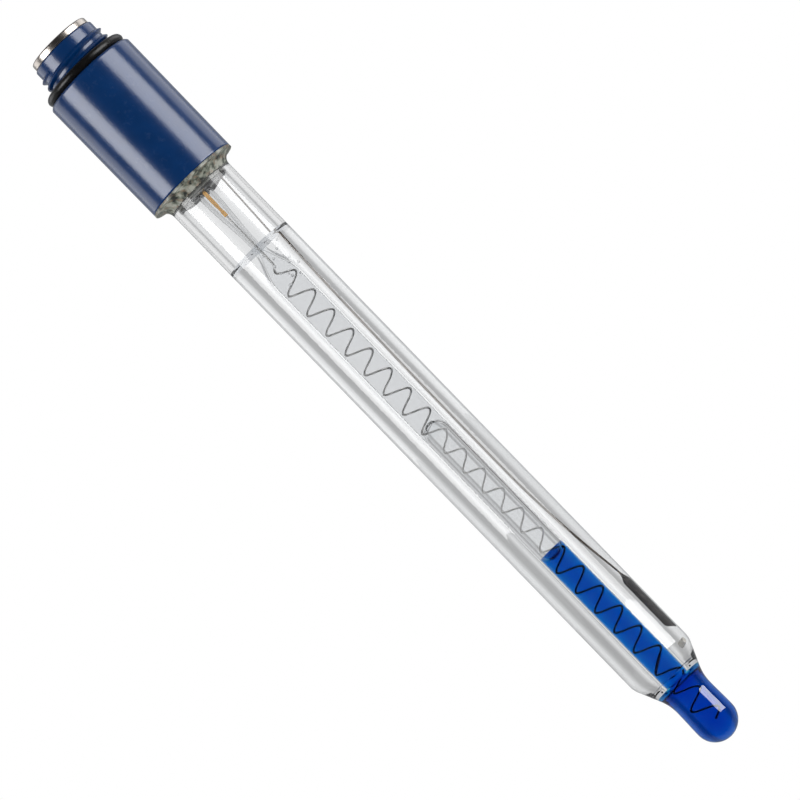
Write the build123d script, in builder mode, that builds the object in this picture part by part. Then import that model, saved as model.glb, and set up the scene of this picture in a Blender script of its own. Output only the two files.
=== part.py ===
from build123d import *

import os
from math import cos, pi, radians, sin, sqrt, tan

# Combination pH electrode with a glass shaft and a screw-on head, hanging bulb down.
# The origin is the middle of the shaft's free straight wall, and +Z runs up to the contacts.
# Heights called z_ are in that frame. All sizes are in millimetres and degrees.

# Outer glass tube
shaft_d = 12.0
shaft_wall = 1.0
shaft_free = 102.3  # straight wall between the cement and the shoulder
shoulder_r = 4.5
taper = 23.5  # half angle of the cone under the shoulder
seam_drop = 3.65  # from the start of the shoulder to the fused seam
gel_floor = 0.75  # glass between the gel and the seam
ground_depth = 0.25  # ground off the end that sits in the head
tube_entry = 12.0  # how far the tube runs up into the head, to the end of its socket

# Measuring bulb and the fused ring above it
seal_t = 0.95
waist_d = 7.04
waist_r = 7.6
bulb_d = 7.2
bulb_length = 8.35  # from the waist to the tip
membrane = 0.45

# Inner stem, drawn in to a choke near its top
stem_d = 4.3
stem_wall = 0.5
choke_drop = 14.4  # below the head's rim
choke_d = 1.5
flare_length = 7.6
funnel_d = 2.7
funnel_entry = 6.0  # how far the stem runs up into the head

# Silver wires and the gold ferrule
wire_d = 0.3
coil_gap = 0.16  # between the coil and the stem's bore
coil_pitch = 4.3
coil_rise = 0.5  # how far the coil reaches up into the flare
coil_foot = 0.1  # bottom of the coil above the centre of the bulb's dome
coil_crest = 22.55  # from the shoulder up to a crest of the coil on the +X side
run_in_turns = 0.7
ferrule_d = 0.65
ferrule_drop = 7.9  # below the head's rim
ferrule_entry = 3.0
crimp_depth = 2.0

# Reference element and its wire, both in the +X half of the axial plane
element_d = 1.3
element_length = 10.2
element_nose = 1.6  # cone where the coating thins out on the wire
element_slant = 1.2  # how much shorter the element is on its inner side
element_drop = 92.6  # from the head's rim to the foot of the nose
element_gap = 0.25  # between the element and the glass
wire_gap = 0.3  # between the reference wire and the stem
wire_along = 45.0  # below the head's rim, where the wire comes in beside the stem
wire_away = 71.0  # below the head's rim, where it leaves the stem for the element

# Ceramic junction in the shoulder
junction_d = 1.0
junction_turn = -29.0  # about +Z from +X, towards the front
junction_drop = 0.9  # below the start of the shoulder

# Fillings
buffer_drop = 80.8  # below the head's rim
buffer_dish = 1.2  # depth of its hollow top
potting_drop = 3.0  # below the head's rim

# Head, from its lower rim up
rim_overhang = 2.1  # of the lower rim beyond the glass
skirt_draft = 0.1  # how much the skirt's radius grows up to the top rim
skirt_h = 23.3
rim_chamfer = 0.35
collar_h = 0.4  # straight edge of the cement under the rim
collar_cove = 1.7  # its hollow curve down to the glass
neck_d = 11.7
neck_h = 5.92
neck_bore = 8.6
neck_chamfer = 0.3
o_ring_t = 1.6

# Contacts at the top of the neck
ring_d = 11.1
ring_h = 1.2
ring_chamfer = 0.3
ring_bore = 6.6
shank_l = 5.0
contact_gap = 0.05  # round the shank, the bush and the pin
bush_recess = 0.7
bush_tail = 1.0  # of the bush below the shank
pin_d = 2.2
pin_recess = 0.3
pin_collar_d = 4.0
pin_collar_t = 0.8

# Straight lengths and sides that stand for round ones
shoulder_steps = 2
neck_steps = 2
dome_steps = 4
flare_steps = 2
cove_steps = 2
o_ring_sides = 8
coil_runs = 8  # in each turn
slight_lean = 0.2  # in a turned side's height; one that leans less is a spline, which takes fewer facets
coil_sides = 4
wire_sides = 6
junction_sides = 12

# Heights that follow from the sizes
z_cement = shaft_free / 2
z_rim = z_cement + collar_h + collar_cove
z_top_rim = z_rim + skirt_h
z_seat_end = z_top_rim + o_ring_t
z_neck_end = z_top_rim + neck_h
z_ring_top = z_neck_end + ring_h
z_shank_end = z_neck_end - shank_l
z_bush_end = z_shank_end - bush_tail
z_pin_end = z_bush_end - pin_collar_t
z_tube_top = z_rim + tube_entry
z_funnel_top = z_rim + funnel_entry
z_ferrule_top = z_rim + ferrule_entry
z_ferrule_end = z_rim - ferrule_drop
z_potting_end = z_rim - potting_drop
z_choke = z_rim - choke_drop
z_flare_end = z_choke - flare_length
z_buffer_edge = z_rim - buffer_drop
z_nose = z_rim - element_drop
z_shoulder = -shaft_free / 2
z_seam = z_shoulder - seam_drop
z_gel_floor = z_seam + gel_floor
z_seal_end = z_seam - seal_t
cone_start_r = shaft_d / 2 - shoulder_r * (1 - cos(radians(taper)))
cone_end_r = waist_d / 2 + waist_r * (1 - cos(radians(taper)))
cone_h = (cone_start_r - cone_end_r) / tan(radians(taper))
z_waist = z_shoulder - (shoulder_r + waist_r) * sin(radians(taper)) - cone_h
z_tip = z_waist - bulb_length
z_dome = z_tip + bulb_d / 2

# Radii that follow from the sizes
head_r = shaft_d / 2 + rim_overhang
head_top_r = head_r + skirt_draft
o_ring_seat_r = head_top_r - rim_chamfer - o_ring_t
bore_r = shaft_d / 2 - shaft_wall
ground_r = shaft_d / 2 - ground_depth
stem_bore_r = stem_d / 2 - stem_wall
coil_r = stem_bore_r - coil_gap - wire_d / 2
shank_r = neck_bore / 2 - contact_gap
bush_r = ring_bore / 2 - contact_gap
wire_contact_x = (ring_bore / 2 + shank_r) / 2
element_x = bore_r - element_gap - element_d / 2
stem_side_x = stem_d / 2 + wire_gap + wire_d / 2

os.makedirs("parts", exist_ok=True)


def section(*corners):
    """Half-section in the plane of the axis, from its (radius, height) corners."""
    with BuildSketch(Plane.XZ) as drawn:
        with BuildLine():
            for start, end in zip(corners, corners[1:] + corners[:1]):
                lean = round(abs(end[0] - start[0]), 6)
                if 0 < lean < slight_lean * abs(end[1] - start[1]):
                    Bezier(start, end)
                else:
                    Line(start, end)
        make_face()
    return drawn.sketch


def arc_corners(centre, radius, start, end, steps):
    """Corners of the straight steps that stand for an arc from its start to its end angle."""
    angles = [radians(start + (end - start) * i / steps) for i in range(steps + 1)]
    return [(centre[0] + radius * cos(a), centre[1] + radius * sin(a)) for a in angles]


def glass_body(inset, top):
    """The shaft, shoulder, neck and bulb in one, from the height top down, drawn in by inset."""
    shoulder = arc_corners((shaft_d / 2 - shoulder_r, z_shoulder), shoulder_r - inset, 0, -taper, shoulder_steps)
    neck = arc_corners((waist_d / 2 + waist_r, z_waist), waist_r + inset, 180 - taper, 180, neck_steps)
    dome = arc_corners((0, z_dome), bulb_d / 2 - inset, 0, -90, dome_steps)[:-1]
    outline = section((0, top), (shaft_d / 2 - inset, top), *shoulder, *neck, *dome, (0, z_tip + inset))
    return revolve(outline, axis=Axis.Z, mode=Mode.PRIVATE)


def stem_body(inset):
    """The stem from its top to the fused ring, with its funnel, choke and flare, drawn in by inset."""
    flare = []
    for i in range(flare_steps + 1):
        swell = (1 - cos(pi * i / flare_steps)) / 2
        flare.append(((choke_d + (stem_d - choke_d) * swell) / 2 - inset, z_choke - flare_length * i / flare_steps))
    funnel_r = funnel_d / 2 - inset
    outline = section(
        (0, z_funnel_top),
        (funnel_r, z_funnel_top),
        (funnel_r, z_potting_end),
        *flare,
        (stem_d / 2 - inset, z_seal_end),
        (0, z_seal_end),
    )
    return revolve(outline, axis=Axis.Z, mode=Mode.PRIVATE)


def cylinder(radius, low, high):
    """A plain cylinder on the axis between two heights."""
    outline = section((0, low), (radius, low), (radius, high), (0, high))
    return revolve(outline, axis=Axis.Z, mode=Mode.PRIVATE)


def wire(points, sides):
    """A wire along straight lengths, with the given number of sides and a round wire's area."""
    with BuildPart() as drawn:
        with BuildLine() as route:
            Polyline(*points)
        with BuildSketch(Plane(origin=route.line @ 0, z_dir=route.line % 0)):
            RegularPolygon(wire_d / 2 * sqrt(2 * pi / (sides * sin(2 * pi / sides))), sides)
        sweep(path=route.line, transition=Transition.RIGHT)
    return drawn.part


def coil_route():
    """Corners of the measuring wire: up the coil, in to the axis and on into the ferrule."""
    z_foot = z_dome + coil_foot
    rise = coil_pitch / coil_runs
    runs = round((z_flare_end + coil_rise - z_foot) / rise)
    run_in = round(run_in_turns * coil_runs)
    points = []
    for i in range(runs + run_in):
        z = z_foot + i * rise
        reach = coil_r * min(1, (runs + run_in - i) / run_in)
        angle = -2 * pi * (z - z_shoulder - coil_crest) / coil_pitch
        points.append((reach * cos(angle), reach * sin(angle), z))
    points.append((0, 0, z_foot + (runs + run_in) * rise))
    points.append((0, 0, z_ferrule_end + crimp_depth))
    return points


# Outer glass tube, before the hole for the junction
with BuildPart() as gel_space:
    add(glass_body(shaft_wall, z_tube_top))
    split(bisect_by=Plane.XY.offset(z_gel_floor), keep=Keep.TOP)

with BuildPart() as tube_blank:
    add(glass_body(0, z_cement))
    split(bisect_by=Plane.XY.offset(z_seam), keep=Keep.TOP)
    add(cylinder(ground_r, z_cement, z_tube_top))
    add(gel_space.part, mode=Mode.SUBTRACT)
    add(cylinder(stem_d / 2, z_seam, z_gel_floor), mode=Mode.SUBTRACT)

# Porous rod fused through the shoulder
with BuildPart() as junction:
    out = Vector(cos(radians(junction_turn)), sin(radians(junction_turn)), 0)
    with BuildSketch(Plane(origin=(0, 0, z_shoulder - junction_drop), x_dir=(0, 0, 1), z_dir=out)):
        RegularPolygon(junction_d / 2, junction_sides)
    extrude(amount=shaft_d / 2)
    add(tube_blank.part, mode=Mode.INTERSECT)
junction.part.label = "ceramic_junction"
export_step(junction.part, "parts/ceramic_junction.step")

with BuildPart() as outer_tube:
    add(tube_blank.part)
    add(junction.part, mode=Mode.SUBTRACT)
outer_tube.part.label = "outer_tube"
export_step(outer_tube.part, "parts/outer_tube.step")

# Inner stem with the ring that is fused between the shaft and the bulb
with BuildPart() as inner_stem:
    add(glass_body(0, z_cement))
    split(bisect_by=Plane.XY.offset(z_seam), keep=Keep.BOTTOM)
    split(bisect_by=Plane.XY.offset(z_seal_end), keep=Keep.TOP)
    add(stem_body(0))
    add(stem_body(stem_wall), mode=Mode.SUBTRACT)
inner_stem.part.label = "inner_stem"
export_step(inner_stem.part, "parts/inner_stem.step")

# Blown membrane
with BuildPart() as bulb:
    add(glass_body(0, z_cement))
    add(glass_body(membrane, z_cement), mode=Mode.SUBTRACT)
    split(bisect_by=Plane.XY.offset(z_seal_end), keep=Keep.BOTTOM)
bulb.part.label = "ph_bulb"
export_step(bulb.part, "parts/ph_bulb.step")

# Silver wire wound as a coil, with its upper end crimped in the gold ferrule
with BuildPart() as measuring_wire:
    add(wire(coil_route(), coil_sides))
measuring_wire.part.label = "measuring_wire"
export_step(measuring_wire.part, "parts/measuring_wire.step")

with BuildPart() as ferrule:
    add(cylinder(ferrule_d / 2, z_ferrule_end, z_ferrule_top))
    add(measuring_wire.part, mode=Mode.SUBTRACT)
ferrule.part.label = "gold_ferrule"
export_step(ferrule.part, "parts/gold_ferrule.step")

# Blue buffer in the bulb and stem, up to its hollow surface under the air gap
with BuildPart() as buffer_fill:
    add(glass_body(membrane, z_cement))
    split(bisect_by=Plane.XY.offset(z_seal_end), keep=Keep.BOTTOM)
    column = section(
        (0, z_seal_end),
        (stem_bore_r, z_seal_end),
        (stem_bore_r, z_buffer_edge),
        (0, z_buffer_edge - buffer_dish),
    )
    revolve(column, axis=Axis.Z)
    add(measuring_wire.part, mode=Mode.SUBTRACT)
buffer_fill.part.label = "buffer_fill"
export_step(buffer_fill.part, "parts/buffer_fill.step")

# Reference wire, from the contact ring down past the stem to the element
with BuildPart() as reference_wire:
    route = [
        (wire_contact_x, 0, z_shank_end),
        (wire_contact_x, 0, z_tube_top),
        (stem_side_x + wire_gap, 0, z_choke),
        (stem_side_x, 0, z_rim - wire_along),
        (stem_side_x, 0, z_rim - wire_away),
        (element_x, 0, z_nose + element_nose),
        (element_x, 0, z_nose - element_nose),
    ]
    add(wire(route, wire_sides))
reference_wire.part.label = "reference_wire"
export_step(reference_wire.part, "parts/reference_wire.step")

# Silver chloride cast on the end of the wire, cut off at a slant
with BuildPart() as element:
    with BuildSketch(Plane.XY.offset(z_nose)):
        with Locations((element_x, 0)):
            Circle(element_d / 2)
    extrude(amount=-element_length)
    with BuildSketch(Plane.XY.offset(z_nose)):
        with Locations((element_x, 0)):
            Circle(element_d / 2)
    with BuildSketch(Plane.XY.offset(z_nose + element_nose)):
        with Locations((element_x, 0)):
            Circle(wire_d)
    loft()
    with BuildSketch(Plane.XZ):
        Polygon(
            (element_x - element_d, z_nose - element_length - element_slant),
            (element_x + element_d / 2, z_nose - element_length),
            (element_x - element_d / 2, z_nose - element_length + element_slant),
            align=None,
        )
    extrude(amount=element_d, both=True, mode=Mode.SUBTRACT)
    add(reference_wire.part, mode=Mode.SUBTRACT)
element.part.label = "reference_element"
export_step(element.part, "parts/reference_element.step")

# Moulded head: skirt, O-ring seat and neck, with the socket and the bore inside
with BuildPart() as head:
    outside = section(
        (0, z_rim),
        (head_r, z_rim),
        (head_top_r, z_top_rim - rim_chamfer),
        (head_top_r - rim_chamfer, z_top_rim),
        (o_ring_seat_r, z_top_rim),
        (o_ring_seat_r, z_seat_end),
        (neck_d / 2, z_seat_end),
        (neck_d / 2, z_neck_end - neck_chamfer),
        (neck_d / 2 - neck_chamfer, z_neck_end),
        (0, z_neck_end),
    )
    revolve(outside, axis=Axis.Z)
    add(cylinder(ground_r, z_rim, z_tube_top), mode=Mode.SUBTRACT)
    add(cylinder(neck_bore / 2, z_tube_top, z_neck_end), mode=Mode.SUBTRACT)
head.part.label = "head_shell"
export_step(head.part, "parts/head_shell.step")

# O-ring, lying on the top rim round its seat
with BuildPart() as o_ring:
    centre = (o_ring_seat_r + o_ring_t / 2, z_top_rim + o_ring_t / 2)
    half_side = 180 / o_ring_sides
    corners = arc_corners(centre, o_ring_t / 2 / cos(radians(half_side)), half_side, half_side + 360, o_ring_sides)
    revolve(section(*corners[:-1]), axis=Axis.Z)
o_ring.part.label = "neck_o_ring"
export_step(o_ring.part, "parts/neck_o_ring.step")

# Bead of cement under the rim, hollow-sided down to the glass
with BuildPart() as cement:
    bead = [(ground_r, z_rim), (ground_r, z_cement), (shaft_d / 2, z_cement)]
    for i in range(1, cove_steps + 1):
        turn = radians(90 * i / cove_steps)
        bead.append((head_r - rim_overhang * cos(turn), z_cement + collar_cove * sin(turn)))
    revolve(section(*bead, (head_r, z_rim)), axis=Axis.Z)
cement.part.label = "tube_cement"
export_step(cement.part, "parts/tube_cement.step")

# Contact ring, with its shank in the neck
with BuildPart() as ring:
    turned = section(
        (ring_bore / 2, z_shank_end),
        (shank_r, z_shank_end),
        (shank_r, z_neck_end),
        (ring_d / 2, z_neck_end),
        (ring_d / 2, z_ring_top - ring_chamfer),
        (ring_d / 2 - ring_chamfer, z_ring_top),
        (ring_bore / 2, z_ring_top),
    )
    revolve(turned, axis=Axis.Z)
ring.part.label = "contact_ring"
export_step(ring.part, "parts/contact_ring.step")

# Insulating bush between the ring and the centre pin
with BuildPart() as bush:
    sleeve = section(
        (pin_d / 2 + contact_gap, z_bush_end),
        (bush_r, z_bush_end),
        (bush_r, z_ring_top - bush_recess),
        (pin_d / 2 + contact_gap, z_ring_top - bush_recess),
    )
    revolve(sleeve, axis=Axis.Z)
bush.part.label = "contact_bush"
export_step(bush.part, "parts/contact_bush.step")

# Centre pin, held up against the bush by its collar
with BuildPart() as pin:
    turned = section(
        (0, z_pin_end),
        (pin_collar_d / 2, z_pin_end),
        (pin_collar_d / 2, z_bush_end),
        (pin_d / 2, z_bush_end),
        (pin_d / 2, z_ring_top - pin_recess),
        (0, z_ring_top - pin_recess),
    )
    revolve(turned, axis=Axis.Z)
pin.part.label = "centre_pin"
export_step(pin.part, "parts/centre_pin.step")

# Lead from the ferrule up to the pin
with BuildPart() as lead:
    add(wire([(0, 0, z_ferrule_top), (0, 0, z_pin_end)], wire_sides))
lead.part.label = "signal_lead"
export_step(lead.part, "parts/signal_lead.step")

# Potting resin: fills the head above the tube and plugs the tube's end round the stem
with BuildPart() as potting:
    filled = section(
        (0, z_potting_end),
        (bore_r, z_potting_end),
        (bore_r, z_tube_top),
        (neck_bore / 2, z_tube_top),
        (neck_bore / 2, z_shank_end),
        (bush_r, z_shank_end),
        (bush_r, z_bush_end),
        (pin_collar_d / 2, z_bush_end),
        (pin_collar_d / 2, z_pin_end),
        (0, z_pin_end),
    )
    revolve(filled, axis=Axis.Z)
    for inner in (inner_stem, ferrule, lead, reference_wire):
        add(inner.part, mode=Mode.SUBTRACT)
potting.part.label = "head_potting"
export_step(potting.part, "parts/head_potting.step")
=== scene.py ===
from math import cos, degrees, pi, radians, sin, tan

import bpy
from bpy.props import FloatProperty, FloatVectorProperty, PointerProperty
from mathutils import Matrix, Vector


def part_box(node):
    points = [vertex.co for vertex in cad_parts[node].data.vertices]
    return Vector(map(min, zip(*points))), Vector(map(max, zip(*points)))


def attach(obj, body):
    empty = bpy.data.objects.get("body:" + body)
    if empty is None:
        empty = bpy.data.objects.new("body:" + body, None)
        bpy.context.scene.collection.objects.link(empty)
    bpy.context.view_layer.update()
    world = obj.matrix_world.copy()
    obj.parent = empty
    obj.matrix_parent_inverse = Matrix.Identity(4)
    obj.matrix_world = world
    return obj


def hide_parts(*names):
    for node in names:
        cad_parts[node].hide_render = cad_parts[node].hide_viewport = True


bl_info = {
    "name": "pH electrode",
    "version": (1, 0, 0),
    "blender": (4, 5, 0),
    "location": "3D View > Sidebar > Electrode",
    "description": "Glass body, fillings, wires, head and contacts of a combination pH electrode",
    "category": "Object",
}

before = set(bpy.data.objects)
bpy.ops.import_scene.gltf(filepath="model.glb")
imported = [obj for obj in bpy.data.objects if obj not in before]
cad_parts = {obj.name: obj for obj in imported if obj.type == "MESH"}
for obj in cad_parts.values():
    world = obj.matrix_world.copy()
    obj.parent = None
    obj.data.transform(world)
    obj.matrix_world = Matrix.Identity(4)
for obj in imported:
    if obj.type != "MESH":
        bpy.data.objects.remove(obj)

MM = 0.001
SIDES = 128  # round the large turned pieces
MERGE = 0.002 * MM  # points nearer than this become one
LIGHT_STEPS = 40  # a path through the stem crosses 14 walls and liquids, and may be mirrored on the way


def low(node):
    """Height of a node's lowest point, in millimetres."""
    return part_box(node)[0].z / MM


def high(node):
    """Height of a node's highest point, in millimetres."""
    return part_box(node)[1].z / MM


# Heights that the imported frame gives
z_tip = low("ph_bulb")
z_seal = high("ph_bulb")
z_seam = low("outer_tube")
z_tube_top = high("outer_tube")
z_funnel_top = high("inner_stem")
z_cement = low("tube_cement")
z_rim = low("head_shell")
z_top_rim = low("neck_o_ring")
z_neck_end = high("head_shell")
z_contact = high("contact_ring")
z_shank_end = low("contact_ring")
z_potting = low("head_potting")
z_pin_end = low("centre_pin")
z_bush_end = low("contact_bush")
z_ferrule = low("gold_ferrule")
z_ferrule_top = high("gold_ferrule")
z_buffer = high("buffer_fill")
z_shoulder = -z_cement  # the origin is in the middle of the straight wall

# Heights and sizes in millimetres that more than one piece follows
z_floor = z_seam + 0.02  # floor of the space round the stem
z_flare = 31.25  # here the stem starts to draw in
z_choke = 38.85  # top of the stem's narrowest part
z_foot_loop, z_low_loop, z_stem_loop, z_high_loop = -40, -20, 10, 20  # divide the long straight walls
waist_rise = 8.35  # from the tip to the waist
socket = 5.75  # radius of the head's socket, where the shaft is ground
ground = 0.25  # depth of that grinding
slack = 0.012  # between a liquid and the wall that it lies on

# Refractive indices; a wall's own is that of its inside over that of its outside
GLASS = 1.5
GEL = 1.36
WATER = 1.34
AIR = 1.0


def length(name, millimetres, description):
    """A size in the sidebar, from its value in millimetres."""
    return FloatProperty(name=name, description=description, default=millimetres * MM, unit="LENGTH")


def colour(name, default, description):
    """A colour in the sidebar."""
    return FloatVectorProperty(
        name=name, description=description, default=default, subtype="COLOR", size=len(default), min=0, max=1
    )


def angle(name, turn, description):
    """An angle in the sidebar, from its value in degrees."""
    return FloatProperty(name=name, description=description, default=radians(turn), subtype="ANGLE")


def number(name, default, description):
    """A plain number in the sidebar."""
    return FloatProperty(name=name, description=description, default=default)


class GlassSettings(bpy.types.PropertyGroup):
    """Sizes of the glass body, and its tint"""

    shaft: length("Shaft radius", 6.0, "Outer radius of the straight glass shaft")
    wall: length("Shaft wall", 1.0, "Thickness of the outer tube")
    shoulder: length("Shoulder radius", 4.5, "Bend from the shaft into the taper")
    taper: angle("Taper", 23.5, "Half angle of the cone under the shoulder")
    waist: length("Waist radius", 3.52, "Narrowest place above the bulb")
    waist_bend: length("Waist bend", 7.6, "Hollow bend from the taper into the waist")
    bulb: length("Bulb radius", 3.6, "Outer radius of the blown bulb")
    membrane: length("Membrane", 0.45, "Thickness of the bulb's wall")
    stem: length("Stem radius", 2.15, "Outer radius of the inner stem")
    stem_wall: length("Stem wall", 0.5, "Thickness of the inner stem")
    choke: length("Choke radius", 0.75, "Outer radius where the stem is drawn in")
    funnel: length("Funnel radius", 1.35, "Outer radius of the stem's top end")
    tint: colour("Glass tint", (0.93, 0.935, 0.94, 1.0), "What one wall lets through")


class FillingSettings(bpy.types.PropertyGroup):
    """Levels of the liquids and the colour of the buffer"""

    gel_level: length("Gel level", 38.35, "Height of the gel's surface")
    fill_low: length("Clear filling", -2.35, "Height at which the clear filling ends along the bore")
    fill_dish: length("Clear dish", 2.4, "How far its middle stands above its edge")
    buffer_dish: length("Buffer dish", 1.5, "How far the blue surface is hollowed")
    # the Buffer colour is darker than the bulb's tint: painted shade on the buffer in the stem
    blue: colour("Buffer colour", (0.3, 0.42, 0.8, 1.0), "Tint at the buffer's surface in the stem")
    depth: colour("Depth colour", (0.0, 0.8, 0.948, 1.0), "Share of each colour that the buffer spares")
    density: number("Buffer density", 2.6, "How strongly a millimetre of the buffer absorbs red light")


class WireSettings(bpy.types.PropertyGroup):
    """Sizes of the wires and colours of the metals"""

    wire: length("Wire", 0.15, "Radius of the silver wires")
    coil: length("Coil radius", 1.34, "Mean radius of the coil")
    pitch: length("Coil pitch", 4.3, "Rise of one turn of the coil")
    crest: length("Coil crest", -28.6, "Height of a crest of the coil on the +X side")
    silver: colour("Silver", (0.72, 0.71, 0.69, 1.0), "Bare silver wire")
    chloride: colour("Silver chloride", (0.012, 0.011, 0.012, 1.0), "Coated wire in the buffer")
    gold: colour("Gold", (0.86, 0.5, 0.14, 1.0), "Ferrule and centre pin")


class HeadSettings(bpy.types.PropertyGroup):
    """Sizes and colours of the head, its thread, its O-ring and its contact"""

    rim: length("Lower rim", 8.1, "Radius of the skirt at its lower rim")
    top_rim: length("Top rim", 8.2, "Radius of the skirt at its top rim")
    chamfer: length("Rim chamfer", 0.35, "Chamfer of the top rim")
    seat: length("O-ring seat", 6.25, "Radius of the seat under the O-ring")
    neck: length("Neck", 5.85, "Radius at the root of the thread")
    thread: length("Thread crest", 6.4, "Radius over the ridges")
    lead: length("Thread lead", 3.0, "Rise of one turn of either ridge")
    o_ring: length("O-ring", 0.8, "Radius of the O-ring's section")
    contact: length("Contact ring", 5.55, "Outer radius of the metal ring")
    plastic: colour("Head plastic", (0.0, 0.03, 0.125, 1.0), "Blue moulding")
    rubber: colour("Rubber", (0.004, 0.004, 0.004, 1.0), "O-ring")
    nickel: colour("Nickel", (0.62, 0.57, 0.52, 1.0), "Contact ring")


class StageSettings(bpy.types.PropertyGroup):
    """Where the camera and the floor stand"""

    distance: length("Camera distance", 1500, "From the camera to the middle of the picture")
    lens: number("Lens", 433.2, "Focal length in millimetres on a 36 mm sensor")
    tilt: angle("Tilt", 5.27, "How far the camera looks up at the object from below")
    roll: angle("Roll", 44.14, "Turn of the shaft in the picture, from upright")
    aim_x: length("Aim across", -0.586, "Middle of the picture across the shaft")
    aim_z: length("Aim along", 5.78, "Middle of the picture along the shaft")
    floor: length("Floor", -260, "Height of the floor")


class Field:
    """An output socket of a finish; arithmetic on it adds Math nodes to the same finish."""

    def __init__(self, finish, socket):
        self.finish = finish
        self.socket = socket

    def _math(self, operation, *values):
        """Adds one Math node to the finish."""
        return self.finish.node("ShaderNodeMath", {"operation": operation}, dict(enumerate(values)))

    def __add__(self, other):
        return self._math("ADD", self, other)

    def __sub__(self, other):
        return self._math("SUBTRACT", self, other)

    def __rsub__(self, other):
        return self._math("SUBTRACT", other, self)

    def __mul__(self, other):
        return self._math("MULTIPLY", self, other)

    def __gt__(self, other):
        return self._math("GREATER_THAN", self, other)

    def __lt__(self, other):
        return self._math("LESS_THAN", self, other)

    def __abs__(self):
        return self._math("ABSOLUTE", self)

    __radd__ = __add__
    __rmul__ = __mul__


class Finish:
    """A node tree under construction: a material's, or the world's."""

    def __init__(self, owner):
        owner.use_nodes = True
        self.owner = owner
        self.tree = owner.node_tree
        self.tree.nodes.clear()

    def node(self, kind, settings=None, values=None, output=0):
        """Adds a node, sets it up, feeds its sockets with values or fields, and gives one output."""
        made = self.tree.nodes.new(kind)
        for name, value in (settings or {}).items():
            if name == "stops":
                self._stops(made.color_ramp, value)
            else:
                setattr(made, name, value)
        for key, value in (values or {}).items():
            if isinstance(value, Field):
                self.tree.links.new(value.socket, made.inputs[key])
            else:
                made.inputs[key].default_value = value
        return Field(self, made.outputs[output]) if made.outputs else None

    def _stops(self, ramp, stops):
        """Sets a ramp's (place, colour) stops."""
        while len(ramp.elements) < len(stops):
            ramp.elements.new(1.0)
        for element, (place, shade) in zip(ramp.elements, stops):
            element.position = place
            element.color = shade

    def place(self):
        """Position on the piece, in metres."""
        return self.node("ShaderNodeTexCoord", output="Object")

    def height(self):
        """Height on the piece, in millimetres."""
        return self.node("ShaderNodeSeparateXYZ", values={0: self.place()}, output="Z") * (1 / MM)

    def noise(self, size, detail=3.0, stretch=(1, 1, 1), roughness=0.5):
        """Noise between 0 and 1 with features of a size in millimetres, stretched along the axes."""
        spread = tuple(1 / (size * MM * s) for s in stretch)
        point = self.node("ShaderNodeVectorMath", {"operation": "MULTIPLY"}, {0: self.place(), 1: spread})
        sockets = {"Vector": point, "Scale": 1.0, "Detail": detail, "Roughness": roughness}
        return self.node("ShaderNodeTexNoise", {}, sockets)

    def ramp(self, value, *stops):
        """The colour at a value on a ramp of (place, colour) stops."""
        return self.node("ShaderNodeValToRGB", {"stops": stops}, {"Fac": value})

    def mix(self, factor, first, second):
        """Two colours mixed."""
        return self.node("ShaderNodeMix", {"data_type": "RGBA"}, {0: factor, 6: first, 7: second}, output=2)

    def bump(self, height, distance):
        """A normal from a height field whose full step is a distance in millimetres."""
        sockets = {"Height": height, "Distance": distance * MM, "Strength": 1.0}
        return self.node("ShaderNodeBump", {}, sockets)

    def surface(self, **sockets):
        """Ends a material in one Principled shader; sockets are named in words joined by underscores."""
        values = {name.replace("_", " "): value for name, value in sockets.items()}
        shader = self.node("ShaderNodeBsdfPrincipled", {}, values)
        self.node("ShaderNodeOutputMaterial", {}, {"Surface": shader})
        return self.owner


def finish(name):
    """A new empty material."""
    return Finish(bpy.data.materials.new(name))


def grey(level):
    """A grey of one level."""
    return (level, level, level, 1)


def clear_wall(name, index, tint, shine=0.5):
    """Glass or liquid against what lies outside it, with its index given against that."""
    f = finish(name)
    ripple = f.noise(6.0, detail=2.0, stretch=(1, 1, 8))
    return f.surface(
        Base_Color=f.mix(ripple, tint, tuple(c * 0.985 for c in tint[:3]) + (1,)),
        Roughness=f.noise(0.8, stretch=(1, 1, 4)) * 0.02,
        IOR=index,
        Specular_IOR_Level=shine,
        Transmission_Weight=1.0,
        Normal=f.bump(ripple, 0.02),
    )


def arc(centre, radius, start, end, steps):
    """Points of an arc from its start to its end angle in degrees."""
    angles = [radians(start + (end - start) * i / steps) for i in range(steps + 1)]
    return [(centre[0] + radius * cos(a), centre[1] + radius * sin(a)) for a in angles]


def eased(first, last, steps):
    """Points between two, in the shape of a smooth S."""
    points = []
    for i in range(steps + 1):
        share = i / steps
        swell = (1 - cos(pi * share)) / 2
        points.append((first[0] + (last[0] - first[0]) * swell, first[1] + (last[1] - first[1]) * share))
    return points


def alone(piece):
    """Selects one piece and nothing else."""
    bpy.ops.object.select_all(action="DESELECT")
    piece.select_set(True)
    bpy.context.view_layer.objects.active = piece


def edit(piece):
    """Edit mode on one piece alone, with all of it selected."""
    alone(piece)
    bpy.ops.object.mode_set(mode="EDIT")
    bpy.ops.mesh.select_mode(type="VERT")
    bpy.ops.mesh.select_all(action="SELECT")


def leave():
    """Back to object mode."""
    bpy.ops.object.mode_set(mode="OBJECT")


def traced(name, outline):
    """A piece of one line, drawn through (radius, height) points in millimetres, in edit mode."""
    bpy.ops.object.select_all(action="DESELECT")
    bpy.ops.mesh.primitive_plane_add(size=MM)
    piece = bpy.context.object
    piece.name = name
    piece.data.name = name
    edit(piece)
    bpy.ops.mesh.merge(type="CENTER")
    bpy.ops.transform.translate(value=Vector((outline[0][0], 0, outline[0][1])) * MM)
    for here, there in zip(outline, outline[1:]):
        move = Vector((there[0] - here[0], 0, there[1] - here[1])) * MM
        bpy.ops.mesh.extrude_region_move(TRANSFORM_OT_translate={"value": move})
    bpy.ops.mesh.select_all(action="SELECT")
    return piece


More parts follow.
